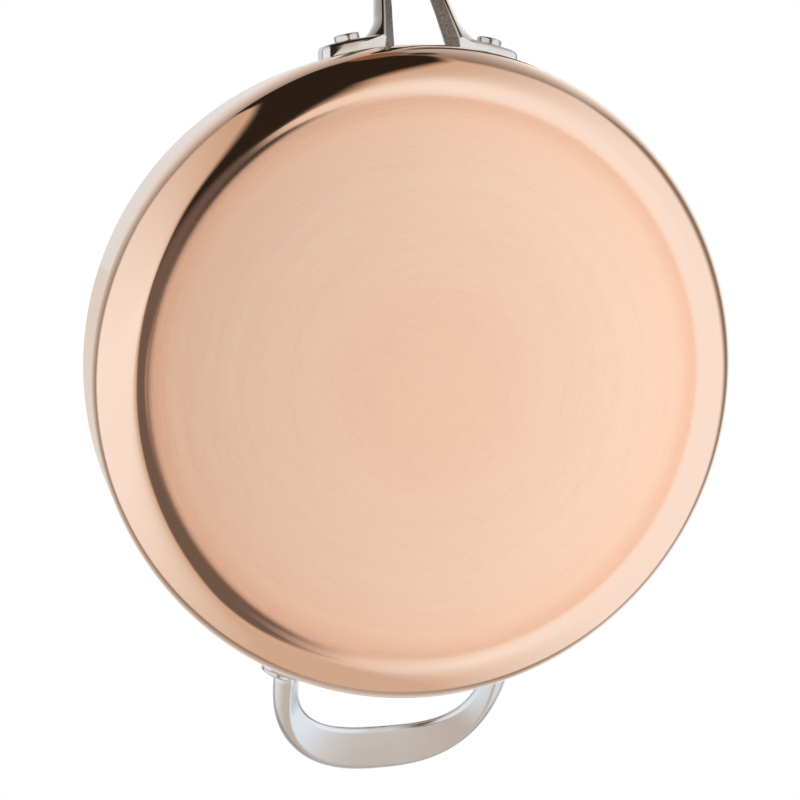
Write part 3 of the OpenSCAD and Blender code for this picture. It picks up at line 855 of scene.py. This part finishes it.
def makeRivets():
    material = satinSteel()
    p = rivets
    footBearing = float(np.degrees(np.arcsin(p["footOut"] / (body["radius"] + longHandle["footThick"]))))
    foot = rivetLine(p["footHead"], p["footDome"], longHandle["footThick"])
    pad = rivetLine(p["padHead"], p["padDome"], loopHandle["padThick"])
    padZ = body["height"] - loopHandle["padDrop"]
    for node, line, bearing, height in (
            ("main_rivet_left", foot, -footBearing, longHandle["rivetZ"]),
            ("main_rivet_right", foot, footBearing, longHandle["rivetZ"]),
            ("helper_rivet_left", pad, 180 + padBearing(), padZ),
            ("helper_rivet_right", pad, 180 - padBearing(), padZ)):
        points, faces = lathe(line, p["around"])
        rivet = newPiece("set_" + node, onRadius(points, bearing, height), faces)
        finishPiece(rivet, material, node, p["sharpAngle"])


makeRivets()
print("rivets set")


# What the metal sees, by direction. Tilt is the angle from straight down, and bearing runs from 0
# towards +Y to 90 towards +X. Across and along are the tilt's parts towards +Y and +X. All are
# degrees, and a pair of them says where a change starts and where it is complete. A run holds two
# such pairs, one where something sets in and one where it fades out.
studio = {
    "level": 1.15, "warm": (0.71, 0.545, 0.415, 1.0), "shade": (0.31, 0.235, 0.185, 1.0),
    "pale": (0.82, 0.795, 0.775, 1.0), "warmPale": (0.78, 0.71, 0.65, 1.0), "backdrop": (1.0, 1.0, 1.0, 1.0),
    "fringe": (0.93, 0.655, 0.49, 1.0), "fringeShare": 0.75, "line": (0.045, 0.035, 0.025, 1.0),
    "lineShare": 0.93, "gap": (0.028, 0.02, 0.014, 1.0), "brownGap": (0.19, 0.144, 0.12, 1.0),
    "riseBowShare": 0.4, "warmPaleEnd": (-60, 0), "paleStart": (157, 167), "lineEnd": (152, 162),
    "fringeBlur": (-2, 7), "fringeRun": ((-40, -26), (70, 90)), "gapRun": ((-34, -26), (102, 107)),
    "brownEnd": (-4, 8),
    "leastFlat": 1e-4,  # keeps straight down from dividing by zero
    # by bearing
    "warmth": [
        (-180, 0), (-150, 0.05), (-135, 0.25), (-120, 0.58), (-105, 0.9), (-75, 0.88), (-60, 0.38),
        (-45, 0.06), (-30, 0), (0, 0), (30, 0.12), (45, 0.38), (60, 0.75), (75, 1), (120, 1), (135, 0.68),
        (150, 0.33), (165, 0.13), (180, 0)],
    "panelEdge": [
        (-180, 125), (-165, 127), (-150, 126), (-135, 120), (-120, 111), (-105, 104), (-75, 98),
        (-60, 99), (-45, 105), (-30, 105), (-15, 97), (0, 89), (45, 87), (60, 77), (75, 76), (105, 100),
        (120, 100), (135, 105), (150, 115), (165, 120), (180, 125)],
    "panelBlur": [(-180, 6), (-60, 6), (-40, 7), (-15, 12), (0, 13), (30, 10), (50, 6), (180, 6)],
    "riseStart": [
        (-180, 124), (-165, 128), (-150, 128), (-135, 122), (-120, 116), (-105, 106), (-90, 85),
        (-75, 92), (-60, 103), (-45, 106), (-30, 110), (0, 111), (30, 105), (45, 85), (60, 75), (90, 98),
        (120, 98), (135, 104), (150, 112), (165, 118), (180, 124)],
    "riseEnd": [
        (-180, 180), (-150, 176), (-120, 168), (-90, 160), (-60, 150), (-45, 130), (0, 127), (45, 131),
        (60, 150), (90, 148), (120, 138), (135, 145), (150, 158), (165, 180), (180, 180)],
    "skyLevel": [
        (-180, 0.86), (-135, 0.87), (-120, 0.89), (-90, 0.93), (-50, 1.06), (-30, 1.1), (50, 1.1),
        (65, 0.86), (180, 0.86)],
    # two dark lines in the room, each at a tilt by bearing
    "lowLine": {"tilt": [(8, 170), (15, 166), (30, 159), (45, 147), (60, 135), (75, 121), (82, 110)],
                "blur": (2.5, 6), "run": ((6, 16), (72, 84))},
    "highLine": {"tilt": [(25, 170), (45, 164), (60, 160), (75, 150), (82, 142), (92, 126)],
                 "blur": (2, 5), "run": ((24, 36), (84, 94))},
    # the dark gap's two sides and their blur across, by the angle along
    "gapLeft": [
        (-34, -7), (-27, -6), (-20, -4), (-12, -1), (-7, 1), (0, -2.5), (5, -6), (10, -9.5), (20, -13),
        (30, -17.5), (45, -24), (62, -30), (80, -36), (92, -52), (100, -28), (107, -8)],
    "gapRight": [
        (-34, -2), (-30, 0), (-25, 6), (-20, 10), (-17, 10.8), (-6, 10.8), (0, 10.2), (4, 9.8), (8, 9.8),
        (20, 8.6), (30, 7.7), (45, 12.6), (60, 19), (68, 23), (78, 24), (86, 22), (92, 14), (98, 5),
        (107, -3)],
    "gapBlur": [(-34, 3), (-6, 2), (0, 1.1), (4, 1.1), (9, 3), (45, 4), (80, 3), (107, 1.5)],
    # two ovals, by their middle and half size across and along
    "brownOval": {"middle": (8, 102), "half": (13, 11), "coreShare": 0.65, "colour": (0.29, 0.15, 0.08, 1.0)},
    "darkOval": {"middle": (22, 94), "half": (8, 6), "coreShare": 0.4, "colour": (0.045, 0.035, 0.025, 1.0)},
}


# Two white panels, warm towards both handles, hang below with a dark gap between them. Past their
# edge comes shade, which brightens up to a pale room. The camera itself sees the white backdrop.
def makeWorld():
    world = bpy.data.worlds.new("studio")
    bpy.context.scene.world = world
    tree = Shader(world)
    x, y, z = tree.split(tree.add("ShaderNodeTexCoord", output="Generated"))
    tilt = tree.maths("ARCCOSINE", z * -1) * (180 / np.pi)
    bearing = tree.maths("ARCTAN2", x, y) * (180 / np.pi)
    flat = tree.radius(x, y)
    reach = tilt / flat.atLeast(studio["leastFlat"])
    across, along = y * reach, x * reach

    def byBearing(name):
        return bearing.curve(studio[name])

    def between(mask, place, start, end):  # the mask where it has set in and not yet faded out
        return mask * place.smooth(*start) * (1 - place.smooth(*end))

    def darkLine(line):
        away = tilt - bearing.curve(line["tilt"])
        return between(1 - away.absolute().smooth(*line["blur"]), bearing, *line["run"])

    def oval(spot):
        (middleAcross, middleAlong), (halfAcross, halfAlong) = spot["middle"], spot["half"]
        away = tree.radius((across - middleAcross) / halfAcross, (along - middleAlong) / halfAlong)
        return 1 - away.smooth(spot["coreShare"], 1)

    white = (studio["level"],) * 3 + (1.0,)
    panels = tree.mixColour(byBearing("warmth"), white, studio["warm"])
    rise = tilt.smooth(byBearing("riseStart"), byBearing("riseEnd"), "LINEAR")
    bowed = rise * (1 + studio["riseBowShare"] - rise * studio["riseBowShare"])
    sky = byBearing("skyLevel")
    room = tree.mixColour(bowed, studio["shade"], tree.join(sky, sky, sky))
    pastEdge = (tilt - byBearing("panelEdge")) / byBearing("panelBlur")
    colour = tree.mixColour(pastEdge.smooth(-1, 1), panels, room)
    pale = tree.mixColour(bearing.smooth(*studio["warmPaleEnd"]), studio["warmPale"], studio["pale"])
    colour = tree.mixColour(tilt.smooth(*studio["paleStart"]), colour, pale)
    lines = darkLine(studio["lowLine"]).atLeast(darkLine(studio["highLine"]))
    lines = lines * (1 - tilt.smooth(*studio["lineEnd"]))
    colour = tree.mixColour(lines * studio["lineShare"], colour, studio["line"])
    outside = (along.curve(studio["gapLeft"]) - across).atLeast(across - along.curve(studio["gapRight"]))
    fringe = between(1 - outside.smooth(*studio["fringeBlur"]), along, *studio["fringeRun"])
    colour = tree.mixColour(fringe * studio["fringeShare"], colour, studio["fringe"])
    pastGap = outside / along.curve(studio["gapBlur"])
    gap = between(1 - pastGap.smooth(-1, 1), along, *studio["gapRun"])
    depth = tree.mixColour(along.smooth(*studio["brownEnd"]), studio["brownGap"], studio["gap"])
    colour = tree.mixColour(gap, colour, depth)
    for spot in (studio["brownOval"], studio["darkOval"]):
        colour = tree.mixColour(oval(spot), colour, spot["colour"])
    cameraRay = tree.add("ShaderNodeLightPath", output="Is Camera Ray")
    colour = tree.mixColour(cameraRay, colour, studio["backdrop"])
    light = tree.add("ShaderNodeBackground", values={"Color": colour, "Strength": 1.0})
    tree.node("ShaderNodeOutputWorld", values={"Surface": light})


ground = {"colour": (0.96, 0.96, 0.96, 1.0), "half": 6000.0, "drop": 0.5, "fade": (700.0, 4000.0)}


# The floor fades out into the white background, and is seen from above only, so that the camera
# below the pan looks through it.
def makeFloor():
    half, low = ground["half"] * millimetre, -ground["drop"] * millimetre
    mesh = bpy.data.meshes.new("floor")
    corners = [(-half, -half, low), (half, -half, low), (half, half, low), (-half, half, low)]
    mesh.from_pydata(corners, [], [(0, 1, 2, 3)])
    floor = bpy.data.objects.new("floor", mesh)
    bpy.context.scene.collection.objects.link(floor)
    material, tree = newMaterial("pale_floor")
    x, y, _ = tree.place()
    far = tree.radius(x, y).smooth(*ground["fade"])
    hidden = tree.add("ShaderNodeNewGeometry", output="Backfacing").atLeast(far)
    coat = tree.add("ShaderNodeBsdfDiffuse", values={"Color": ground["colour"]})
    clear = tree.add("ShaderNodeBsdfTransparent")
    both = tree.add("ShaderNodeMixShader", values={0: hidden, 1: coat, 2: clear})
    tree.node("ShaderNodeOutputMaterial", values={"Surface": both})
    mesh.materials.append(material)
    for ray in ("visible_diffuse", "visible_glossy", "visible_transmission", "visible_shadow"):
        setattr(floor, ray, False)


makeWorld()
makeFloor()
bpy.context.scene.view_settings.view_transform = "Standard"
print("studio lit")
